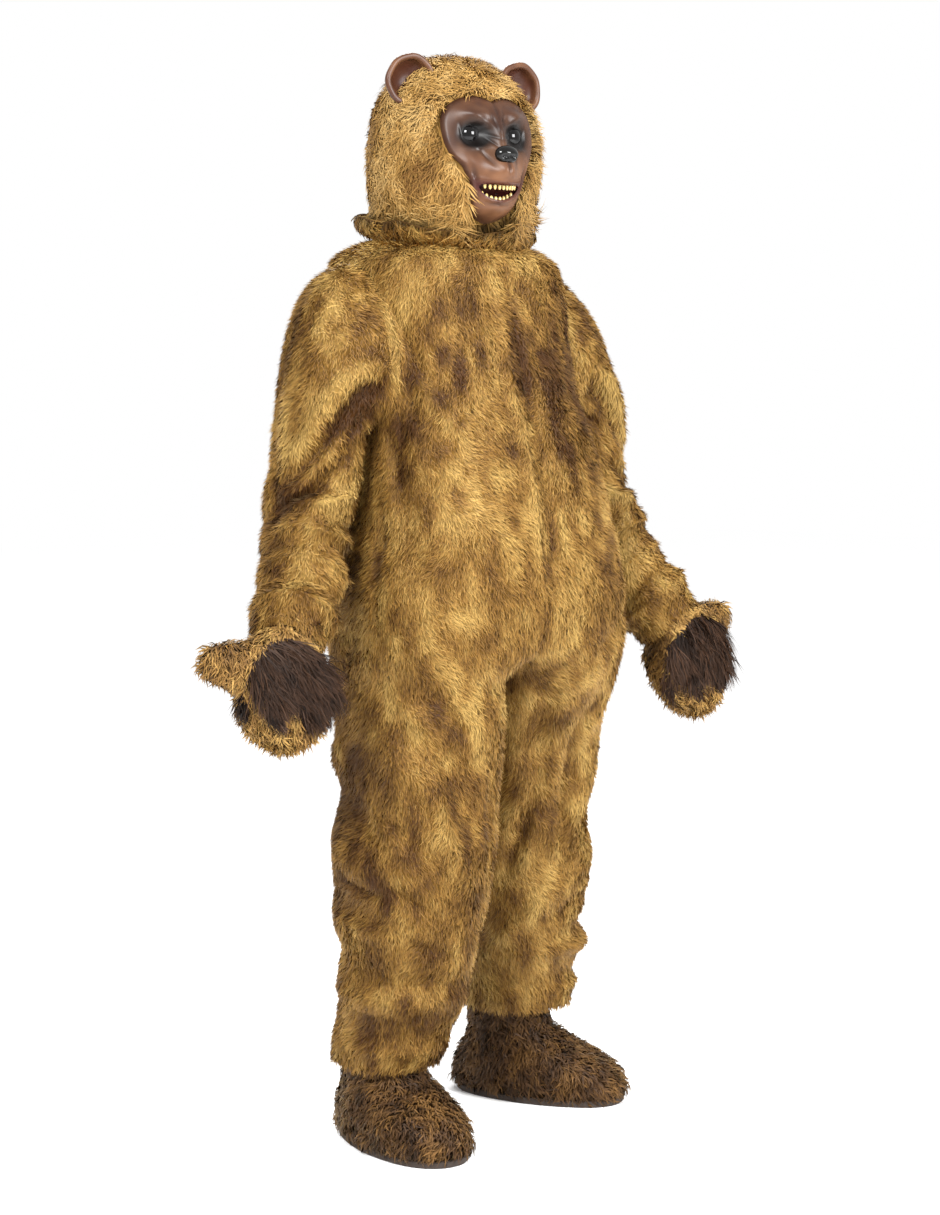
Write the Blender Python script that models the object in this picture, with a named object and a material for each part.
"""Bear mascot costume in its worn shape, in metres, +Z up, facing -Y.

A fur suit of four panels, two sleeves and a collar, a fur head with a moulded face and ears,
two mitts with palm and finger pads, and two foot covers with soles. Nobody is inside it.
The tables give heights above the floor. The part's origin lies on the wearer's shoulder line.
"""
import math

import bmesh
import bpy
import numpy as np
from mathutils import Matrix, Vector
from mathutils.bvhtree import BVHTree

# Driving sizes
SHOULDER_HEIGHT = 1.450
CROTCH_HEIGHT = 0.780
BELLY_HEIGHT = 0.935
SUIT_WALL = 0.006
HEAD_WALL = 0.010
MITT_WALL = 0.007
BOOT_WALL = 0.007
LATEX_WALL = 0.004
SEAM_GAP = 0.0004
SLEEVE_GAP = 0.0005
CUT_GAP = 0.0005
MERGE_DISTANCE = 0.0001

# Panel layout: columns across a panel, and the armhole as an oval in height and angle
PANEL_COLUMNS = 9
ARMHOLE_HEIGHT = 1.352
ARMHOLE_HALF = 0.140
ARMHOLE_ANGLE = 33.0
SLEEVE_COLUMNS = 16
TORSO_SQUARENESS = 0.12
LEG_SQUARENESS = 0.05
# Folds fade out over this width beside the middle of the body, so that both sides meet there
MIDDLE_FADE = 0.06
# Steps that directions are measured over
BODY_STEP = 0.004
ARM_STEP = 0.03
HALVINGS = 40

# Heights of a panel's rows, and shares of the way down from the belly line to the crotch
NECK_ROWS = (1.534, 1.525, 1.511)
ARMHOLE_ROWS = 9
TRUNK_ROWS = (1.165, 1.105, 1.045, 0.985, BELLY_HEIGHT)
PARTING_SHARES = (0.28, 0.50, 0.66, 0.80, 0.91, 1.0)
LEG_ROWS = (0.740, 0.690, 0.640, 0.590, 0.540, 0.495, 0.450, 0.410, 0.370, 0.335, 0.300, 0.265, 0.230, 0.198)
LAST_ROW_GAP = 0.02

# Angles go round the body: 0 at the front, 90 at the side, 180 at the back
SIDE_ANGLE = 90.0
BACK_ANGLE = 180.0


def table(columns, *rows):
    """A section table: one row for each section, one named column for each size."""
    ordered = sorted(rows)
    return {name: [row[i] for row in ordered] for i, name in enumerate(columns.split())}


TORSO = table("height half_width half_depth forward tilt",
              (1.534, 0.122, 0.106, -0.014, 0.012),
              (1.525, 0.152, 0.124, -0.021, 0.010),
              (1.512, 0.180, 0.138, -0.027, 0.007),
              (1.496, 0.199, 0.148, -0.030, 0.003),
              (1.465, 0.209, 0.157, -0.030, 0.000),
              (1.420, 0.212, 0.163, -0.023, 0.000),
              (1.340, 0.209, 0.168, -0.006, 0.000),
              (1.260, 0.206, 0.175, 0.012, 0.000),
              (1.200, 0.208, 0.179, 0.028, 0.000),
              (1.100, 0.221, 0.183, 0.050, 0.000),
              (1.000, 0.243, 0.186, 0.064, 0.000),
              (0.920, 0.257, 0.187, 0.069, 0.000),
              (0.850, 0.258, 0.184, 0.064, 0.000),
              (0.780, 0.250, 0.172, 0.052, 0.000))

LEG = table("height centre half_width half_depth forward_right forward_left",
            (0.780, 0.125, 0.125, 0.172, 0.052, 0.052),
            (0.740, 0.129, 0.126, 0.165, 0.062, 0.030),
            (0.680, 0.135, 0.125, 0.155, 0.074, 0.004),
            (0.600, 0.143, 0.124, 0.148, 0.082, -0.014),
            (0.500, 0.153, 0.126, 0.146, 0.084, -0.030),
            (0.420, 0.159, 0.122, 0.141, 0.080, -0.037),
            (0.340, 0.164, 0.113, 0.129, 0.078, -0.038),
            (0.270, 0.170, 0.102, 0.114, 0.076, -0.036),
            (0.210, 0.177, 0.097, 0.106, 0.064, -0.044),
            (0.160, 0.182, 0.093, 0.100, 0.050, -0.054),
            (0.138, 0.184, 0.089, 0.095, 0.044, -0.058))

# Right leg hem, and the left one, which bunches higher up on its foot cover
HEM_RIGHT = 0.138
HEM_LEFT = 0.172

# Largest folds of the suit: a ridge has a depth above 0, a trough one below 0
# Columns: angle, height, slant from upright in degrees, length, width, depth
FOLDS_RIGHT = (
    (46, 1.330, 12, 0.130, 0.050, -0.012),
    (62, 1.090, 8, 0.090, 0.036, -0.010),
    (30, 0.690, 38, 0.100, 0.030, -0.015),
    (52, 0.640, 42, 0.100, 0.028, 0.012),
    (4, 0.600, 26, 0.120, 0.030, -0.013),
    (78, 0.560, 66, 0.090, 0.026, -0.014),
    (88, 0.490, 76, 0.080, 0.028, 0.015),
    (20, 0.470, 48, 0.100, 0.026, -0.010),
    (96, 0.420, 82, 0.090, 0.024, -0.011),
    (40, 0.300, 84, 0.140, 0.020, -0.012),
    (60, 0.262, 90, 0.160, 0.018, 0.011),
    (30, 0.205, 86, 0.150, 0.018, -0.010),
    (150, 1.150, -24, 0.130, 0.040, -0.011),
    (128, 0.900, -34, 0.120, 0.030, 0.010),
    (150, 0.740, -40, 0.100, 0.028, -0.013),
    (170, 0.560, -70, 0.100, 0.026, -0.012),
    (150, 0.330, -84, 0.130, 0.022, -0.010),
)
FOLDS_LEFT = (
    (46, 1.330, 12, 0.130, 0.050, -0.009),
    (66, 1.070, 6, 0.090, 0.036, -0.009),
    (-30, 0.690, -8, 0.120, 0.026, -0.014),
    (10, 0.660, 14, 0.140, 0.028, -0.013),
    (38, 0.610, 20, 0.120, 0.030, 0.011),
    (60, 0.520, 56, 0.090, 0.026, -0.010),
    (20, 0.430, 64, 0.100, 0.026, 0.010),
    (50, 0.330, 80, 0.120, 0.020, -0.011),
    (40, 0.290, 88, 0.160, 0.018, 0.013),
    (30, 0.240, 86, 0.150, 0.018, -0.012),
    (145, 1.120, -20, 0.130, 0.040, -0.011),
    (125, 0.930, -30, 0.120, 0.030, 0.010),
    (155, 0.730, -36, 0.100, 0.028, -0.012),
    (165, 0.500, -66, 0.100, 0.026, -0.011),
    (140, 0.300, -84, 0.130, 0.020, 0.010),
)

# Arm line from below the shoulder to the cuff: along is the share of its length
ARM = table("along lateral forward height radius_out radius_front",
            (0.00, 0.286, -0.006, 1.196, 0.076, 0.094),
            (0.15, 0.295, -0.006, 1.146, 0.075, 0.093),
            (0.32, 0.307, -0.001, 1.088, 0.076, 0.090),
            (0.50, 0.329, 0.018, 1.025, 0.073, 0.084),
            (0.70, 0.360, 0.046, 0.950, 0.071, 0.080),
            (0.88, 0.396, 0.077, 0.894, 0.070, 0.076),
            (1.00, 0.419, 0.094, 0.860, 0.061, 0.065))
SHOULDER_CAP_ROWS = 4
# How the sleeve leaves the armhole: how far it follows the body, and its lean outward and down at the top
CAP_FOLLOW = 0.55
CAP_OUT = 0.8
CAP_DOWN = 0.25
ARM_ROWS = (0.0, 0.10, 0.20, 0.31, 0.42, 0.50, 0.58, 0.67, 0.75, 0.84, 0.93, 0.97, 1.0)
# Pushed-up rolls round the lower sleeve: along, width, depth, lean, and the side it is deepest on
ARM_ROLLS = (
    (0.20, 0.050, -0.006, 0.04, 200),
    (0.42, 0.026, -0.010, 0.03, 180),
    (0.50, 0.026, 0.008, 0.03, 150),
    (0.58, 0.022, -0.011, -0.02, 190),
    (0.67, 0.024, 0.009, -0.02, 160),
    (0.75, 0.022, -0.011, 0.03, 170),
    (0.84, 0.024, 0.010, 0.02, 120),
    (0.93, 0.020, -0.007, 0.00, 180),
)

# How much shallower a roll is halfway round from its deepest side
ROLL_FADE = 0.3

# Collar rings, from the neck seam outward and up: it stands higher behind than at the throat
COLLAR = table("along outward back_outward rise back_rise",
               (0.00, 0.000, 0.000, 0.0004, 0.000),
               (0.35, 0.011, 0.005, 0.0060, 0.002),
               (0.70, 0.022, 0.010, 0.0160, 0.007),
               (1.00, 0.030, 0.0112, 0.0260, 0.012))
COLLAR_WALL = 0.006
COLLAR_ROWS = 2

HEAD = table("height half_width half_depth forward",
             (1.520, 0.094, 0.080, -0.014),
             (1.532, 0.100, 0.086, -0.012),
             (1.546, 0.113, 0.099, -0.010),
             (1.563, 0.1325, 0.1222, -0.008),
             (1.590, 0.147, 0.148, -0.007),
             (1.630, 0.153, 0.156, -0.006),
             (1.680, 0.152, 0.157, -0.007),
             (1.730, 0.146, 0.150, -0.009),
             (1.775, 0.130, 0.134, -0.012),
             (1.810, 0.108, 0.112, -0.015),
             (1.835, 0.080, 0.083, -0.018),
             (1.850, 0.048, 0.050, -0.020))
HEAD_CROWN = 0.020
HEAD_TOP = 1.857
HEAD_COLUMNS = 24
HEAD_TURN = -8.0

# Moulded face, in its own plane: across to the wearer's left, up from the face's middle
FACE_HEIGHT = 1.675
FACE_RECESS = 0.005
# How far ahead of the head's axis the cutting blocks start and end
FACE_CUT_START = 0.045
MOUTH_CUT_START = 0.120
CUT_END = 0.260
# The head's front flattens beyond this share of its half width
FACE_FLATTEN = 0.95
FACE_RINGS = 8
FACE_COLUMNS = 26
# The face's edge, by turn from the crown in degrees: brows high, cheeks drawn in, chin low
FACE_EDGE = table("turn reach",
                  (0, 0.084),
                  (22, 0.100),
                  (48, 0.106),
                  (75, 0.091),
                  (95, 0.079),
                  (115, 0.069),
                  (135, 0.074),
                  (150, 0.094),
                  (165, 0.113),
                  (180, 0.120))
# Swells and hollows of the face: across, up, spread across, spread up, depth
FACE_FORMS = (
    (0.000, -0.038, 0.036, 0.034, 0.040),
    (0.000, 0.028, 0.016, 0.040, 0.016),
    (0.036, 0.062, 0.024, 0.014, 0.011),
    (-0.036, 0.062, 0.024, 0.014, 0.011),
    (0.040, 0.026, 0.019, 0.017, -0.014),
    (-0.040, 0.026, 0.019, 0.017, -0.014),
    (0.054, -0.022, 0.018, 0.020, 0.006),
    (-0.054, -0.022, 0.018, 0.020, 0.006),
    (0.000, -0.100, 0.028, 0.018, 0.016),
)
BALL_SEGMENTS = 14
BALL_RINGS = 8
EYE_ACROSS = 0.040
EYE_UP = 0.027
EYE_RADIUS = 0.021
# How deep an eye's middle sits behind the face, as a share of its radius
EYE_SUNK = 0.5
NOSE_UP = -0.010
NOSE_SIZE = (0.021, 0.015, 0.016)
MOUTH_UP = -0.071
MOUTH_HALF_WIDTH = 0.038
MOUTH_HALF_OPEN = 0.0115
MOUTH_SMILE = 0.010
MOUTH_STEPS = 8
# The cup behind the mouth, as shares of the mouth's own half sizes
LINING_WIDE = 1.18
LINING_HIGH = 1.9
LINING_RINGS = 4
LINING_COLUMNS = 16
LINING_DEPTH = 0.014
LINING_WALL = 0.003
LINING_GAP = 0.0009
TEETH_GAP = 0.0008
TOOTH_COUNT = 8
TOOTH_THICK = 0.0035
TEETH_WIDE = 0.80
# Heights of a row of teeth as shares of the mouth's half opening: its gum, its middle, its tips and its notches
TEETH_SHARES = (1.05, 0.55, 0.12)
TOOTH_NOTCH = 0.42

# Ears: moulded cups on the head, placed by angle from the top of the head
EAR_RADIUS = 0.045
EAR_DEPTH = 0.024
EAR_WALL = 0.0055
EAR_STEPS = 6
EAR_SEGMENTS = 16
# The rolled rim: how far each point lies outside the ear's radius, and how far ahead of its edge
EAR_RIM = ((0.001, 0.004), (-0.003, 0.0075), (-0.0075, 0.004))
EAR_ACROSS = 0.106
EAR_UP = 1.796
EAR_BACK = -0.034
EAR_TURN = 6.0

# Mitt: along runs from inside the cuff to the finger tips
MITT = table("along half_width half_thick curl",
             (0.000, 0.0530, 0.0568, 0.000),
             (0.041, 0.0530, 0.0568, 0.000),
             (0.051, 0.0640, 0.0580, 0.000),
             (0.075, 0.0770, 0.0540, 0.001),
             (0.115, 0.0830, 0.0500, 0.004),
             (0.155, 0.0800, 0.0470, 0.009),
             (0.185, 0.0700, 0.0420, 0.015),
             (0.205, 0.0500, 0.0340, 0.020))
MITT_LENGTH = 0.215
MITT_ROWS = (0.0, 0.020, 0.041, 0.051, 0.068, 0.088, 0.108, 0.122, 0.128, 0.150, 0.172, 0.190, 0.205)
MITT_COLUMNS = 24
MITT_TUCK = 0.040
WRIST_LENGTH = 0.060
# The way a hand hangs, for the left side
HAND_HANG = (0.10, -0.06, -1.0)
HAND_STEP = 0.005
# How the cuff's ring becomes the hand's: over this length, with corners this much fuller
HAND_START = 0.030
HAND_SQUARENESS = 0.10
PALM_TURN_RIGHT = -10.0
PALM_TURN_LEFT = 4.0
THUMB_ALONG_RIGHT = 0.092
THUMB_ALONG_LEFT = 0.070
THUMB_REACH = 0.066
THUMB_LIFT = 0.010
THUMB_RADIUS = 0.027
THUMB_THICK = 0.0297
# Grooves between the fingers, as shares of the mitt's half width
FINGER_GROOVES = (-0.71, 0.0, 0.71)
GROOVE_WIDTH = 0.11
GROOVE_DEPTH = 0.014
# How much thinner the mitt is in a groove, and how much shorter the outer fingers are for each metre out
GROOVE_PINCH = 0.30
FINGER_ARCH = 0.16
FINGER_START = 0.115
FINGER_BLEND = 0.070
PAD_THICK = 0.007
FINGER_PAD_THICK = 0.005
# Where the pads lie on the mitt's grid: row with first and last column, then the fingers' cells
PALM_CELLS = ((3, -2, 2), (4, -4, 3), (5, -4, 3), (6, -3, 3))
FINGER_PAD_COLUMNS = (-5, -2, 1, 4)
FINGER_PAD_ROWS = (8, 9)

# Foot covers: rings from the sole to the top of the shaft
BOOT = table("height half_width half_length forward",
             (0.0125, 0.078, 0.160, 0.066),
             (0.030, 0.087, 0.169, 0.066),
             (0.055, 0.087, 0.163, 0.062),
             (0.078, 0.081, 0.143, 0.050),
             (0.098, 0.074, 0.115, 0.034),
             (0.118, 0.066, 0.088, 0.016),
             (0.145, 0.063, 0.070, 0.005),
             (0.190, 0.063, 0.066, 0.006),
             (0.235, 0.064, 0.066, 0.012))
BOOT_COLUMNS = 16
BOOT_RIGHT = {"lateral": 0.182, "forward": 0.0255, "turn": 5.0}
BOOT_LEFT = {"lateral": 0.182, "forward": -0.0812, "turn": 27.0}
SOLE_THICK = 0.012
FOOT_SQUARENESS = 0.05
HEEL_NARROWING = 0.16
# Rings longer than this belong to the foot, shorter ones to the shaft
SHAFT_HALF_LENGTH = 0.10

COLOURS = {
    "suit_fur": ((0.30, 0.16, 0.045), 0.95),
    "head_fur": ((0.42, 0.25, 0.08), 0.95),
    "pad_fur": ((0.045, 0.022, 0.014), 0.90),
    "latex": ((0.22, 0.085, 0.038), 0.38),
    "gloss_black": ((0.010, 0.009, 0.008), 0.10),
    "tooth": ((0.72, 0.56, 0.28), 0.30),
    "mouth_red": ((0.10, 0.016, 0.012), 0.35),
    "sole_rubber": ((0.035, 0.022, 0.014), 0.80),
}


def smooth_line(at, xs, ys):
    """A smooth line through the points, without overshoot between them."""
    xs = np.asarray(xs, float)
    ys = np.asarray(ys, float)
    at = min(max(at, xs[0]), xs[-1])
    steps = np.diff(xs)
    slopes = np.diff(ys) / steps
    bends = np.zeros(len(xs))
    bends[0] = slopes[0]
    bends[-1] = slopes[-1]
    for i in range(1, len(xs) - 1):
        if slopes[i - 1] * slopes[i] > 0:
            bends[i] = 2 * slopes[i - 1] * slopes[i] / (slopes[i - 1] + slopes[i])
    i = int(np.clip(np.searchsorted(xs, at) - 1, 0, len(xs) - 2))
    t = (at - xs[i]) / steps[i]
    start = (2 * t**3 - 3 * t**2 + 1) * ys[i] + (t**3 - 2 * t**2 + t) * steps[i] * bends[i]
    return start + (3 * t**2 - 2 * t**3) * ys[i + 1] + (t**3 - t**2) * steps[i] * bends[i + 1]


def read(rows, name, at):
    """One size of a section table at a place between its rows."""
    key = next(iter(rows))
    return smooth_line(at, rows[key], rows[name])


def unit(vector):
    return vector / max(np.linalg.norm(vector), 1e-12)


def to_part(point):
    """From heights above the floor to the part's own frame."""
    return (point[0], point[1], point[2] - SHOULDER_HEIGHT)


def material(name):
    """The Principled material of one of the costume's stuffs."""
    found = bpy.data.materials.get(name)
    if found:
        return found
    colour, roughness = COLOURS[name]
    made = bpy.data.materials.new(name)
    made.use_nodes = True
    shader = made.node_tree.nodes["Principled BSDF"]
    shader.inputs["Base Color"].default_value = (*colour, 1.0)
    shader.inputs["Roughness"].default_value = roughness
    shader.inputs["Metallic"].default_value = 0.0
    return made


def add_object(name, mesh, stuff, group):
    """A named object with its material in its collection."""
    made = bpy.data.objects.new(name, mesh)
    mesh.materials.clear()
    mesh.materials.append(material(stuff))
    group.objects.link(made)
    return made


def mesh_from(name, points, faces):
    """A mesh of the points, in the part's frame, with its faces pointing out."""
    mesh = bpy.data.meshes.new(name)
    mesh.from_pydata([to_part(point) for point in points], [], faces)
    work = bmesh.new()
    work.from_mesh(mesh)
    bmesh.ops.recalc_face_normals(work, faces=work.faces)
    work.to_mesh(mesh)
    work.free()
    mesh.shade_smooth()
    return mesh


def halves(face):
    """A quad as two triangles, always split the same way, so that pieces made from one grid agree."""
    if len(face) == 3:
        return [face]
    return [(face[0], face[1], face[2]), (face[0], face[2], face[3])]


def shell_mesh(name, outer, inner, faces):
    """A wall between two like sets of points, closed along every open edge of its faces."""
    count = len(outer)
    faces = [half for face in faces for half in halves(face)]
    edges = {}
    for face in faces:
        for a, b in zip(face, face[1:] + face[:1]):
            edges[(a, b)] = True
    rim = [(a, b) for a, b in edges if (b, a) not in edges]
    inner_faces = [tuple(count + i for i in reversed(face)) for face in faces]
    rim_faces = [(b, a, count + a, count + b) for a, b in rim]
    used = sorted({i for face in faces for i in face})
    place = {old: new for new, old in enumerate(used + [count + i for i in used])}
    points = list(outer) + list(inner)
    kept = [points[i] for i in used] + [points[count + i] for i in used]
    whole = [tuple(place[i] for i in face) for face in list(faces) + inner_faces + rim_faces]
    return mesh_from(name, kept, whole)


def grid_faces(rows, columns, wrap):
    """Quads of a grid of points, rows down and columns round."""
    faces = []
    across = columns if wrap else columns - 1
    for row in range(rows - 1):
        for column in range(across):
            after = (column + 1) % columns
            here = row * columns
            faces.append((here + column, here + after, here + columns + after, here + columns + column))
    return faces


def grid_normals(grid, wrap):
    """Outward directions at the points of a grid whose rows go down and columns go round."""
    rows, columns = grid.shape[:2]
    normals = np.zeros_like(grid)
    middle = grid.mean(axis=1)
    for row in range(rows):
        above = grid[max(row - 1, 0)]
        below = grid[min(row + 1, rows - 1)]
        for column in range(columns):
            after = (column + 1) % columns if wrap else min(column + 1, columns - 1)
            before = (column - 1) % columns if wrap else max(column - 1, 0)
            turn = unit(np.cross(grid[row, after] - grid[row, before], below[column] - above[column]))
            if np.dot(turn, grid[row, column] - middle[row]) < 0 and wrap:
                turn = -turn
            normals[row, column] = turn
    return normals


def split_share(height):
    """How far the trunk has parted into legs: 0 above the belly line, 1 at the crotch."""
    share = (BELLY_HEIGHT - height) / (BELLY_HEIGHT - CROTCH_HEIGHT)
    share = min(max(share, 0.0), 1.0)
    return share * share * (3 - 2 * share)


def section(side, height):
    """The suit's cross-section on one side: its centre, half sizes, forward shift and squareness."""
    if height > CROTCH_HEIGHT:
        share = split_share(height)
        half_width = read(TORSO, "half_width", height)
        centre = 0.5 * read(TORSO, "half_width", CROTCH_HEIGHT) * share
        square = TORSO_SQUARENESS + (LEG_SQUARENESS - TORSO_SQUARENESS) * share
        forward = read(TORSO, "forward", height)
        return centre, half_width - centre, read(TORSO, "half_depth", height), forward, square
    forward = read(LEG, "forward_right" if side < 0 else "forward_left", height)
    centre = read(LEG, "centre", height)
    return centre, read(LEG, "half_width", height), read(LEG, "half_depth", height), forward, LEG_SQUARENESS


def middle_angle(side, height):
    """The angle where a side's section meets the middle of the body, from 0 down to -90."""
    centre, half_width, _, _, square = section(side, height)
    if height <= CROTCH_HEIGHT:
        return -SIDE_ANGLE
    low, high = -SIDE_ANGLE, 0.0
    for _ in range(HALVINGS):
        angle = 0.5 * (low + high)
        turn = math.radians(angle)
        reach = centre + half_width * (1 + square * math.sin(2 * turn) ** 2) * math.sin(turn)
        if reach > 0:
            high = angle
        else:
            low = angle
    return high


def fold_depth(side, height, angle, radius):
    """How far the largest folds lift or sink the cloth at a place."""
    total = 0.0
    for at, level, slant, length, width, depth in (FOLDS_RIGHT if side < 0 else FOLDS_LEFT):
        round_way = math.radians((angle - at + 180) % 360 - 180) * radius
        up = height - level
        lean = math.radians(slant)
        along = up * math.cos(lean) + round_way * math.sin(lean)
        across = round_way * math.cos(lean) - up * math.sin(lean)
        total += depth * math.exp(-(along / length) ** 2 - (across / width) ** 2)
    return total


def body_point(side, height, angle):
    """A point of the suit's outer face, with the wearer's right side at -1 and left side at +1."""
    centre, half_width, half_depth, forward, square = section(side, height)
    turn = math.radians(angle)
    swell = 1 + square * math.sin(2 * turn) ** 2
    x = centre + half_width * swell * math.sin(turn)
    y = -forward - half_depth * swell * math.cos(turn)
    lift = fold_depth(side, height, angle, 0.5 * (half_width + half_depth))
    if height > CROTCH_HEIGHT:
        lift *= min(max(x, 0.0) / MIDDLE_FADE, 1.0) ** 2
    way = unit(np.array([math.sin(turn) / half_width, -math.cos(turn) / half_depth]))
    x += lift * way[0]
    y += lift * way[1]
    tilt = read(TORSO, "tilt", height)
    return np.array([side * (x + 0.5 * SEAM_GAP), y, height - tilt * math.cos(turn)])


def body_normal(side, height, angle):
    """The outward direction of the suit's face."""
    round_way = body_point(side, height, angle + 1.0) - body_point(side, height, angle - 1.0)
    low = height - BODY_STEP
    high = min(height + BODY_STEP, TORSO["height"][-1])
    if height <= CROTCH_HEIGHT:
        high = min(high, CROTCH_HEIGHT)
    up = body_point(side, high, angle) - body_point(side, low, angle)
    return side * unit(np.cross(round_way, up))


def armhole_opening(height):
    """Half the armhole's width at a height, in degrees round the body."""
    share = (height - ARMHOLE_HEIGHT) / ARMHOLE_HALF
    return ARMHOLE_ANGLE * math.sqrt(max(1 - share**2, 0.0))


def panel_heights(side):
    """Heights of a panel's rows, from the neck down to its hem."""
    steps = ARMHOLE_ROWS - 1
    armhole = [ARMHOLE_HEIGHT + ARMHOLE_HALF * math.cos(math.pi * k / steps) for k in range(ARMHOLE_ROWS)]
    parting = [BELLY_HEIGHT - (BELLY_HEIGHT - CROTCH_HEIGHT) * share for share in PARTING_SHARES]
    hem = HEM_RIGHT if side < 0 else HEM_LEFT
    leg = [level for level in LEG_ROWS if level > hem + LAST_ROW_GAP]
    return list(NECK_ROWS) + armhole + list(TRUNK_ROWS) + parting + leg + [hem]


def panel(name, side, front, group):
    """One of the suit's four panels, from neck to hem."""
    outer = []
    inner = []
    heights = panel_heights(side)
    for height in heights:
        _, _, half_depth, _, _ = section(side, height)
        seam = math.degrees(0.5 * SEAM_GAP / half_depth)
        opening = max(armhole_opening(height), seam)
        start = max(middle_angle(side, height), -SIDE_ANGLE + seam)
        first, last = start, SIDE_ANGLE - opening
        if not front:
            first, last = SIDE_ANGLE + opening, BACK_ANGLE - start
        for column in range(PANEL_COLUMNS + 1):
            angle = first + (last - first) * column / PANEL_COLUMNS
            point = body_point(side, height, angle)
            outer.append(point)
            inner.append(point - SUIT_WALL * body_normal(side, height, angle))
    faces = grid_faces(len(heights), PANEL_COLUMNS + 1, False)
    return add_object(name, shell_mesh(name, outer, inner, faces), "suit_fur", group)


def arm_centre(side, along):
    lateral, forward, height = (read(ARM, name, along) for name in ("lateral", "forward", "height"))
    return np.array([side * lateral, -forward, height])


def arm_frame(side, along):
    """The arm line's place, direction, outer side and front side."""
    way = unit(arm_centre(side, min(along + ARM_STEP, 1.0)) - arm_centre(side, max(along - ARM_STEP, 0.0)))
    out = np.array([side, 0.0, 0.0])
    out = unit(out - np.dot(out, way) * way)
    ahead = np.array([0.0, -1.0, 0.0])
    ahead = ahead - np.dot(ahead, way) * way
    ahead = unit(ahead - np.dot(ahead, out) * out)
    return arm_centre(side, along), way, out, ahead


def roll_depth(along, turn):
    """How far the pushed-up rolls lift or sink the sleeve."""
    total = 0.0
    for at, width, depth, lean, deepest in ARM_ROLLS:
        around = math.cos(turn - math.radians(deepest))
        offset = along - at - lean * math.sin(turn)
        total += depth * (1 - ROLL_FADE + ROLL_FADE * around) * math.exp(-(offset / width) ** 2)
    return total


def arm_point(side, along, turn):
    """A point of the lower sleeve: turn 0 is outward, a quarter turn the front."""
    place, _, out, ahead = arm_frame(side, along)
    lift = roll_depth(along, turn)
    wide = (read(ARM, "radius_out", along) + lift) * math.cos(turn)
    deep = (read(ARM, "radius_front", along) + lift) * math.sin(turn)
    return place + wide * out + deep * ahead


def sleeve(name, side, group):
    """A sleeve from the armhole to the cuff, with a rounded cap at the shoulder."""
    turns = [2 * math.pi * k / SLEEVE_COLUMNS for k in range(SLEEVE_COLUMNS)]
    edge = []
    edge_inner = []
    starts = []
    for turn in turns:
        height = ARMHOLE_HEIGHT + ARMHOLE_HALF * math.cos(turn)
        angle = SIDE_ANGLE - ARMHOLE_ANGLE * math.sin(turn)
        point = body_point(side, height, angle)
        normal = body_normal(side, height, angle)
        edge.append(point)
        edge_inner.append(point - SUIT_WALL * normal)
        lean = np.array([side * CAP_OUT, 0.0, -CAP_DOWN * math.cos(turn)])
        starts.append(unit(CAP_FOLLOW * normal + lean))
    middle = np.mean(edge, axis=0)
    pull = [SLEEVE_GAP * unit(middle - point) for point in edge]
    edge = [point + shift for point, shift in zip(edge, pull)]
    edge_inner = [point + shift for point, shift in zip(edge_inner, pull)]
    _, way, _, _ = arm_frame(side, 0.0)
    rows = [edge]
    for step in range(1, SHOULDER_CAP_ROWS + 1):
        t = step / (SHOULDER_CAP_ROWS + 1)
        row = []
        for point, start, turn in zip(edge, starts, turns):
            target = arm_point(side, 0.0, turn)
            reach = np.linalg.norm(target - point)
            rise = (2 * t**3 - 3 * t**2 + 1) * point + (t**3 - 2 * t**2 + t) * reach * start
            row.append(rise + (3 * t**2 - 2 * t**3) * target + (t**3 - t**2) * reach * way)
        rows.append(row)
    for along in ARM_ROWS:
        rows.append([arm_point(side, along, turn) for turn in turns])
    grid = np.array(rows)
    inner = grid - SUIT_WALL * grid_normals(grid, True)
    inner[0] = edge_inner
    faces = grid_faces(len(rows), SLEEVE_COLUMNS, True)
    mesh = shell_mesh(name, list(grid.reshape(-1, 3)), list(inner.reshape(-1, 3)), faces)
    return add_object(name, mesh, "suit_fur", group)


def ring_wall(name, rows, wall, stuff, group, tip=None):
    """A wall through closed rings, which ends in a point where a tip is given."""
    grid = np.array(rows)
    count, columns = grid.shape[:2]
    inner = grid - wall * grid_normals(grid, True)
    outer_points = list(grid.reshape(-1, 3))
    inner_points = list(inner.reshape(-1, 3))
    faces = grid_faces(count, columns, True)
    if tip is not None:
        back = unit(grid[-1].mean(axis=0) - tip)
        outer_points.append(np.array(tip))
        inner_points.append(np.array(tip) + wall * back)
        last = (count - 1) * columns
        for column in range(columns):
            faces.append((last + column, last + (column + 1) % columns, count * columns))
    return add_object(name, shell_mesh(name, outer_points, inner_points, faces), stuff, group)


def collar(group):
    """The rolled collar on the neck seam, low at the throat and high behind the neck."""
    neck = TORSO["height"][-1]
    columns = 4 * PANEL_COLUMNS
    rows = []
    for step in range(COLLAR_ROWS, -1, -1):
        along = step / COLLAR_ROWS
        row = []
        for column in range(columns):
            angle = 360.0 * column / columns
            side = 1 if angle <= BACK_ANGLE else -1
            turn = math.radians(angle)
            seam = body_point(side, neck, min(angle, 360.0 - angle))
            out = np.array([math.sin(turn), -math.cos(turn), 0.0])
            rise = read(COLLAR, "rise", along) - read(COLLAR, "back_rise", along) * math.cos(turn)
            reach = read(COLLAR, "outward", along) - read(COLLAR, "back_outward", along) * math.cos(turn)
            row.append(seam + reach * out + np.array([0.0, 0.0, rise]))
        rows.append(row)
    return ring_wall("collar", rows, COLLAR_WALL, "suit_fur", group)


def turn_head(point):
    """From the head's own facing to the costume's, turned about its upright axis."""
    turned = Matrix.Rotation(math.radians(HEAD_TURN), 3, "Z") @ Vector(point)
    return np.array(turned)


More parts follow.
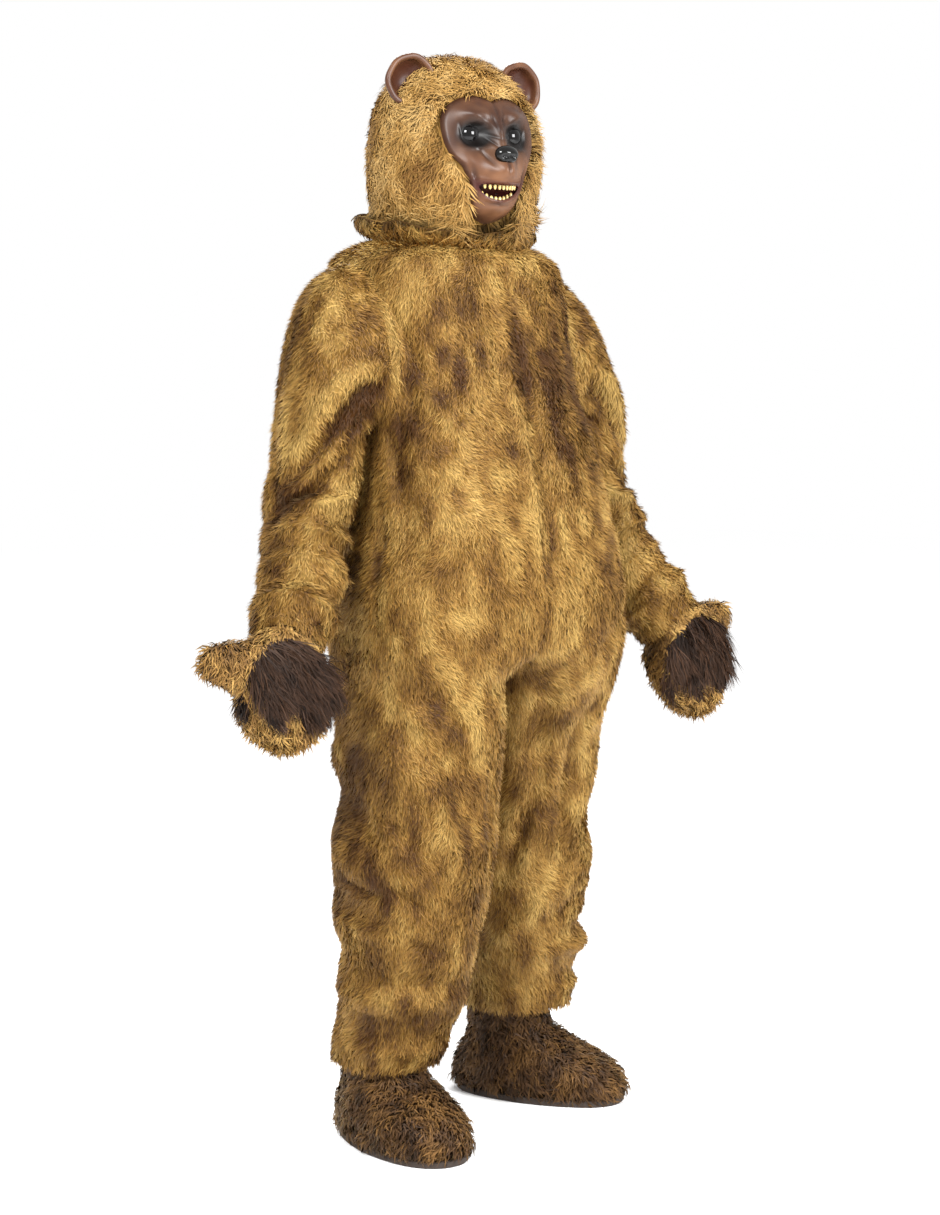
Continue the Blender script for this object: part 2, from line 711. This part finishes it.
def head_point(height, turn, grow=0.0):
    """A point of the head's outer face before it is turned: turn 0 is the front."""
    x = (read(HEAD, "half_width", height) + grow) * math.sin(turn)
    y = -read(HEAD, "forward", height) - (read(HEAD, "half_depth", height) + grow) * math.cos(turn)
    return np.array([x, y, height])


def head_rows(grow=0.0):
    heights = list(reversed(HEAD["height"]))
    turns = [2 * math.pi * k / HEAD_COLUMNS for k in range(HEAD_COLUMNS)]
    return [[turn_head(head_point(height, turn, grow)) for turn in turns] for height in heights]


def cut(target, cutter):
    """A Boolean difference, kept as a modifier on its object."""
    made = target.modifiers.new("cut_" + cutter.name, "BOOLEAN")
    made.operation = "DIFFERENCE"
    made.solver = "EXACT"
    made.object = cutter


def add_cutter(name, mesh, group):
    made = bpy.data.objects.new(name, mesh)
    made.display_type = "WIRE"
    made.hide_render = True
    group.objects.link(made)
    return made


def head_surface_depth(across, height):
    """How far the head's front stands ahead of its axis."""
    wide = min(abs(across) / read(HEAD, "half_width", height), FACE_FLATTEN)
    return read(HEAD, "forward", height) + read(HEAD, "half_depth", height) * math.sqrt(1 - wide**2)


def face_depth(across, up):
    """How far the face stands ahead of the head's axis."""
    depth = head_surface_depth(across, FACE_HEIGHT + up) - FACE_RECESS
    for at, level, wide, high, form in FACE_FORMS:
        depth += form * math.exp(-((across - at) / wide) ** 2 - ((up - level) / high) ** 2)
    return depth


def face_point(across, up):
    return turn_head((across, -face_depth(across, up), FACE_HEIGHT + up))


def face_outline(turn, grow=0.0):
    """The face's outline: turn 0 is the crown, a quarter turn its left side."""
    reach = read(FACE_EDGE, "reach", abs(math.degrees(math.remainder(turn, 2 * math.pi)))) + grow
    return reach * math.sin(turn), reach * math.cos(turn)


def face_opening_cutter(group):
    """The block that opens the head's fur for the face."""
    near = []
    far = []
    for k in range(FACE_COLUMNS):
        across, up = face_outline(2 * math.pi * k / FACE_COLUMNS, CUT_GAP)
        near.append(turn_head((across, -FACE_CUT_START, FACE_HEIGHT + up)))
        far.append(turn_head((across, -CUT_END, FACE_HEIGHT + up)))
    faces = grid_faces(2, FACE_COLUMNS, True)
    faces.append(tuple(range(FACE_COLUMNS)))
    faces.append(tuple(range(2 * FACE_COLUMNS - 1, FACE_COLUMNS - 1, -1)))
    return add_cutter("face_opening", mesh_from("face_opening", near + far, faces), group)


def head_hood(group, cutters):
    rows = head_rows()
    rows.reverse()
    made = ring_wall("head_hood", rows, HEAD_WALL, "head_fur", group, turn_head((0.0, HEAD_CROWN, HEAD_TOP)))
    cut(made, face_opening_cutter(cutters))
    return made


def face_grid():
    """The face's points and faces: one skin from the nose out to the edge of the fur."""
    points = [face_point(0.0, 0.0)]
    faces = []
    for ring in range(1, FACE_RINGS + 1):
        share = ring / FACE_RINGS
        for k in range(FACE_COLUMNS):
            across, up = face_outline(2 * math.pi * k / FACE_COLUMNS)
            points.append(face_point(share * across, share * up))
    for k in range(FACE_COLUMNS):
        after = (k + 1) % FACE_COLUMNS
        faces.append((0, 1 + after, 1 + k))
        for ring in range(FACE_RINGS - 1):
            here = 1 + ring * FACE_COLUMNS
            beyond = here + FACE_COLUMNS
            faces.append((here + k, here + after, beyond + after, beyond + k))
    return points, faces


def ahead():
    """The way the head looks."""
    return turn_head((0.0, -1.0, 0.0))


def face_plate(group):
    """The moulded face, a thin plate."""
    points, faces = face_grid()
    inner = [point - LATEX_WALL * ahead() for point in points]
    return add_object("face", shell_mesh("face", points, inner, faces), "latex", group)


def face_back():
    """The back of the face, as a tree that the mouth's pieces are measured against."""
    points, faces = face_grid()
    back = [Vector(point - LATEX_WALL * ahead()) for point in points]
    return BVHTree.FromPolygons(back, [half for face in faces for half in halves(face)])


def behind_face(tree, across, up, depth):
    """A point a little way behind the back of the face."""
    axis = Vector(turn_head((across, 0.0, FACE_HEIGHT + up)))
    hit = tree.ray_cast(axis, Vector(ahead()))[0]
    return np.array(hit) - depth * ahead()


def ball_mesh(name, centre, size):
    """A stretched ball from a primitive sphere, turned with the head."""
    mesh = bpy.data.meshes.new(name)
    work = bmesh.new()
    bmesh.ops.create_uvsphere(work, u_segments=BALL_SEGMENTS, v_segments=BALL_RINGS, radius=1.0)
    place = Matrix.Translation(to_part(centre)) @ Matrix.Rotation(math.radians(HEAD_TURN), 4, "Z")
    work.transform(place @ Matrix.Diagonal((*size, 1.0)))
    work.to_mesh(mesh)
    work.free()
    mesh.shade_smooth()
    return mesh


def set_in_face(name, centre, size, stuff, plate, group, cutters):
    """A ball set in a hole of the face that is cut for it."""
    add_object(name, ball_mesh(name, centre, size), stuff, group)
    wider = [radius + CUT_GAP for radius in size]
    cut(plate, add_cutter(name + "_hole", ball_mesh(name + "_hole", centre, wider), cutters))


def mouth_middle(across):
    """Height of the mouth's middle line, which turns up at its corners."""
    return MOUTH_UP + MOUTH_SMILE * (across / MOUTH_HALF_WIDTH) ** 2


def mouth_opening(across):
    """Half the mouth's opening at a place across it."""
    return MOUTH_HALF_OPEN * math.sqrt(max(1 - (across / MOUTH_HALF_WIDTH) ** 2, 0.0))


def mouth_cutter(group):
    """The block that opens the mouth."""
    steps = MOUTH_STEPS
    across = [MOUTH_HALF_WIDTH * math.cos(math.pi * k / steps) for k in range(2 * steps)]
    signs = [1 if k <= steps else -1 for k in range(2 * steps)]
    loop = [(x, mouth_middle(x) + sign * mouth_opening(x)) for x, sign in zip(across, signs)]
    near = [turn_head((x, -MOUTH_CUT_START, FACE_HEIGHT + up)) for x, up in loop]
    far = [turn_head((x, -CUT_END, FACE_HEIGHT + up)) for x, up in loop]
    count = len(loop)
    faces = grid_faces(2, count, True)
    faces.append(tuple(range(count)))
    faces.append(tuple(range(2 * count - 1, count - 1, -1)))
    return add_cutter("mouth_opening", mesh_from("mouth_opening", near + far, faces), group)


def mouth_lining(tree, group):
    """The dark cup behind the mouth."""
    rings = LINING_RINGS
    columns = LINING_COLUMNS
    outer = [behind_face(tree, 0.0, MOUTH_UP, LINING_DEPTH)]
    for ring in range(1, rings + 1):
        share = ring / rings
        for k in range(columns):
            turn = 2 * math.pi * k / columns
            across = LINING_WIDE * MOUTH_HALF_WIDTH * share * math.sin(turn)
            up = mouth_middle(across) + LINING_HIGH * MOUTH_HALF_OPEN * share * math.cos(turn)
            depth = LINING_GAP + (LINING_DEPTH - LINING_GAP) * (1 - share**2)
            outer.append(behind_face(tree, across, up, depth))
    faces = []
    for k in range(columns):
        after = (k + 1) % columns
        faces.append((0, 1 + after, 1 + k))
        for ring in range(rings - 1):
            here = 1 + ring * columns
            faces.append((here + k, here + after, here + columns + after, here + columns + k))
    inner = [point - LINING_WALL * ahead() for point in outer]
    return add_object("mouth_lining", shell_mesh("mouth_lining", outer, inner, faces), "mouth_red", group)


def teeth(name, upper, tree, group):
    """A row of teeth on its gum, as a toothed band just behind the mouth."""
    sign = 1 if upper else -1
    columns = 2 * TOOTH_COUNT
    reach = TEETH_WIDE * MOUTH_HALF_WIDTH
    front = []
    back = []
    for share in TEETH_SHARES:
        for k in range(columns + 1):
            across = -reach + 2 * reach * k / columns
            notch = share == TEETH_SHARES[-1] and k % 2 == 0
            tip = TOOTH_NOTCH if notch else share
            up = mouth_middle(across) + sign * tip * mouth_opening(across)
            front.append(behind_face(tree, across, up, TEETH_GAP))
            back.append(behind_face(tree, across, up, TEETH_GAP + TOOTH_THICK))
    mesh = shell_mesh(name, front, back, grid_faces(len(TEETH_SHARES), columns + 1, False))
    return add_object(name, mesh, "tooth", group)


def ear(name, side, group, hull):
    """A moulded cup of an ear, trimmed where it meets the head's fur."""
    outer = []
    for k in range(EAR_STEPS + 1):
        share = 0.5 * math.pi * k / EAR_STEPS
        outer.append((EAR_RADIUS * math.sin(share), EAR_DEPTH * math.cos(share)))
    inner = [(radius * (1 - EAR_WALL / EAR_RADIUS), depth - EAR_WALL) for radius, depth in outer[:-1]]
    rim = [(EAR_RADIUS + outside, -forward) for outside, forward in EAR_RIM]
    profile = outer + rim + list(reversed(inner))
    mesh = bpy.data.meshes.new(name)
    work = bmesh.new()
    line = [work.verts.new((radius, depth, 0.0)) for radius, depth in profile]
    for a, b in zip(line, line[1:]):
        work.edges.new((a, b))
    bmesh.ops.spin(work, geom=work.verts[:] + work.edges[:], cent=(0, 0, 0), axis=(0, 1, 0),
                   angle=2 * math.pi, steps=EAR_SEGMENTS, use_merge=True)
    bmesh.ops.remove_doubles(work, verts=work.verts, dist=MERGE_DISTANCE)
    bmesh.ops.recalc_face_normals(work, faces=work.faces)
    lean = Matrix.Rotation(math.radians(side * EAR_TURN), 4, "Z")
    place = Matrix.Translation(to_part(turn_head((side * EAR_ACROSS, EAR_BACK, EAR_UP))))
    work.transform(place @ Matrix.Rotation(math.radians(HEAD_TURN), 4, "Z") @ lean)
    work.to_mesh(mesh)
    work.free()
    mesh.shade_smooth()
    made = add_object(name, mesh, "latex", group)
    cut(made, hull)
    return made


def head_hull(group):
    """The head's whole outer form, a little larger, to trim the ears with."""
    rows = head_rows(CUT_GAP)
    columns = HEAD_COLUMNS
    points = [point for row in rows for point in row]
    faces = grid_faces(len(rows), columns, True)
    points.append(turn_head((0.0, HEAD_CROWN, HEAD_TOP + CUT_GAP)))
    for k in range(columns):
        faces.append((k, (k + 1) % columns, len(points) - 1))
    faces.append(tuple(range((len(rows) - 1) * columns, len(rows) * columns)))
    return add_cutter("head_hull", mesh_from("head_hull", points, faces), group)


def hand_frame(side, along):
    """The mitt's place, direction, thumb side and palm side, from the cuff's line to hanging down."""
    cuff, way, _, _ = arm_frame(side, 1.0)
    hang = unit(np.array([side * HAND_HANG[0], HAND_HANG[1], HAND_HANG[2]]))
    place = cuff - MITT_TUCK * way
    gone = 0.0
    course = way
    while gone < along:
        stride = min(HAND_STEP, along - gone)
        share = min(max((gone - MITT_TUCK) / WRIST_LENGTH, 0.0), 1.0)
        course = unit((1 - share) * way + share * hang)
        place = place + stride * course
        gone += stride
    palm_turn = math.radians(PALM_TURN_RIGHT if side < 0 else PALM_TURN_LEFT)
    palm = np.array([math.sin(palm_turn), -math.cos(palm_turn), 0.0])
    palm = unit(palm - np.dot(palm, course) * course)
    return place, course, side * np.cross(palm, course), palm


def mitt_point(side, along, turn):
    """A point of the mitt's outer face: turn 0 is the palm, a quarter turn the thumb's side."""
    place, down, thumb, palm = hand_frame(side, along)
    hand = min(max((along - MITT_TUCK) / HAND_START, 0.0), 1.0)
    swell = 1 + HAND_SQUARENESS * hand * math.sin(2 * turn) ** 2
    half_width = read(MITT, "half_width", along)
    across = half_width * swell * math.sin(turn)
    ahead = read(MITT, "half_thick", along) * swell * math.cos(turn)
    fingers = min(max((along - FINGER_START) / FINGER_BLEND, 0.0), 1.0)
    groove = sum(math.exp(-((math.sin(turn) - at) / GROOVE_WIDTH) ** 2) for at in FINGER_GROOVES)
    ahead *= 1 - GROOVE_PINCH * fingers * groove
    drop = -fingers * GROOVE_DEPTH * groove - FINGER_ARCH * fingers * abs(across)
    if math.sin(turn) > 0:
        root = THUMB_ALONG_RIGHT if side < 0 else THUMB_ALONG_LEFT
        near = math.hypot((along - root) / THUMB_RADIUS, ahead / THUMB_THICK)
        across += hand * THUMB_REACH * math.exp(-near**4)
        drop -= hand * THUMB_LIFT * math.exp(-near**4)
    return place + drop * down + across * thumb + (ahead + read(MITT, "curl", along)) * palm


def mitt_grid(side):
    turns = [2 * math.pi * k / MITT_COLUMNS for k in range(MITT_COLUMNS)]
    return np.array([[mitt_point(side, along, turn) for turn in turns] for along in MITT_ROWS])


def mitt(name, side, group):
    place, down, _, palm = hand_frame(side, MITT["along"][-1])
    tip = place + (MITT_LENGTH - MITT["along"][-1]) * down + MITT["curl"][-1] * palm
    return ring_wall(name, list(mitt_grid(side)), MITT_WALL, "suit_fur", group, tip)


def pad(name, side, cells, thick, stuff, group):
    """A pad on the mitt, made from the mitt's own points moved out."""
    grid = mitt_grid(side)
    normals = grid_normals(grid, True).reshape(-1, 3)
    points = grid.reshape(-1, 3)
    under = list(points + SEAM_GAP * normals)
    over = list(points + (SEAM_GAP + thick) * normals)
    faces = []
    for row, column in cells:
        after = (column + 1) % MITT_COLUMNS
        here = row * MITT_COLUMNS
        below = here + MITT_COLUMNS
        faces.append((here + column % MITT_COLUMNS, here + after % MITT_COLUMNS,
                      below + after % MITT_COLUMNS, below + column % MITT_COLUMNS))
    return add_object(name, shell_mesh(name, over, under, faces), stuff, group)


def pads(side, word, group):
    """The palm's pad and the four finger pads of one mitt."""
    palm_cells = [(row, column) for row, first, last in PALM_CELLS for column in range(first, last)]
    pad("palm_pad_" + word, side, palm_cells, PAD_THICK, "pad_fur", group)
    for number, column in enumerate(FINGER_PAD_COLUMNS, 1):
        cells = [(row, column) for row in FINGER_PAD_ROWS]
        pad("finger_pad_%s_%d" % (word, number), side, cells, FINGER_PAD_THICK, "pad_fur", group)


def boot_outline(place, side, half_width, half_length, forward, level):
    """A ring of the foot cover at a level, pointing where the toes point."""
    turn = math.radians(place["turn"])
    toe = np.array([side * math.sin(turn), -math.cos(turn)])
    right = np.array([toe[1], -toe[0]])
    middle = np.array([side * place["lateral"], -place["forward"]]) + forward * toe
    ring = []
    for k in range(BOOT_COLUMNS):
        round_way = 2 * math.pi * k / BOOT_COLUMNS
        swell = 1 + FOOT_SQUARENESS * math.sin(2 * round_way) ** 2
        heel = 1.0
        if half_length > SHAFT_HALF_LENGTH:
            heel -= HEEL_NARROWING * max(-math.cos(round_way), 0.0)
        spot = middle + half_length * swell * math.cos(round_way) * toe
        spot = spot + half_width * heel * swell * math.sin(round_way) * right
        ring.append((spot[0], spot[1], level))
    return ring


def boot(name, side, place, group):
    """A fur foot cover with its shaft, open at the top and over its sole."""
    rows = []
    for level in reversed(BOOT["height"]):
        sizes = [read(BOOT, size, level) for size in ("half_width", "half_length", "forward")]
        rows.append(boot_outline(place, side, *sizes, level))
    return ring_wall(name, rows, BOOT_WALL, "suit_fur", group)


def sole(name, side, place, group):
    """The flat sole under a foot cover."""
    first = BOOT["height"][0]
    sizes = [read(BOOT, size, first) for size in ("half_width", "half_length", "forward")]
    outline = boot_outline(place, side, *sizes, 0.0)
    line = bpy.data.curves.new(name, "CURVE")
    line.dimensions = "2D"
    line.fill_mode = "BOTH"
    line.extrude = 0.5 * SOLE_THICK
    spline = line.splines.new("POLY")
    spline.points.add(len(outline) - 1)
    for point, spot in zip(spline.points, outline):
        point.co = (spot[0], spot[1], 0.0, 1.0)
    spline.use_cyclic_u = True
    made = bpy.data.objects.new(name, line)
    line.materials.append(material("sole_rubber"))
    made.location = (0.0, 0.0, 0.5 * SOLE_THICK - SHOULDER_HEIGHT)
    group.objects.link(made)
    return made


def new_collection(name):
    made = bpy.data.collections.new(name)
    bpy.context.scene.collection.children.link(made)
    return made


def suit(group):
    for side, word in ((-1, "right"), (1, "left")):
        panel("front_" + word, side, True, group)
        panel("back_" + word, side, False, group)
        sleeve("sleeve_" + word, side, group)
    collar(group)


def head(group, cutters):
    head_hood(group, cutters)
    plate = face_plate(group)
    for side, word in ((-1, "right"), (1, "left")):
        sunk = face_depth(side * EYE_ACROSS, EYE_UP) - EYE_SUNK * EYE_RADIUS
        eye = turn_head((side * EYE_ACROSS, -sunk, FACE_HEIGHT + EYE_UP))
        set_in_face("eye_" + word, eye, [EYE_RADIUS] * 3, "gloss_black", plate, group, cutters)
    nose = turn_head((0.0, -face_depth(0.0, NOSE_UP), FACE_HEIGHT + NOSE_UP))
    set_in_face("nose", nose, list(NOSE_SIZE), "gloss_black", plate, group, cutters)
    cut(plate, mouth_cutter(cutters))
    tree = face_back()
    mouth_lining(tree, group)
    teeth("teeth_upper", True, tree, group)
    teeth("teeth_lower", False, tree, group)
    hull = head_hull(cutters)
    for side, word in ((-1, "right"), (1, "left")):
        ear("ear_" + word, side, group, hull)


def hands(group):
    for side, word in ((-1, "right"), (1, "left")):
        mitt("mitt_" + word, side, group)
        pads(side, word, group)


def feet(group):
    for side, word, place in ((-1, "right", BOOT_RIGHT), (1, "left", BOOT_LEFT)):
        boot("boot_" + word, side, place, group)
        sole("sole_" + word, side, place, group)


def main():
    for old in list(bpy.data.objects):
        bpy.data.objects.remove(old, do_unlink=True)
    group = new_collection("bear_mascot_costume")
    cutters = new_collection("cutters")
    suit(group)
    head(group, cutters)
    hands(group)
    feet(group)


main()
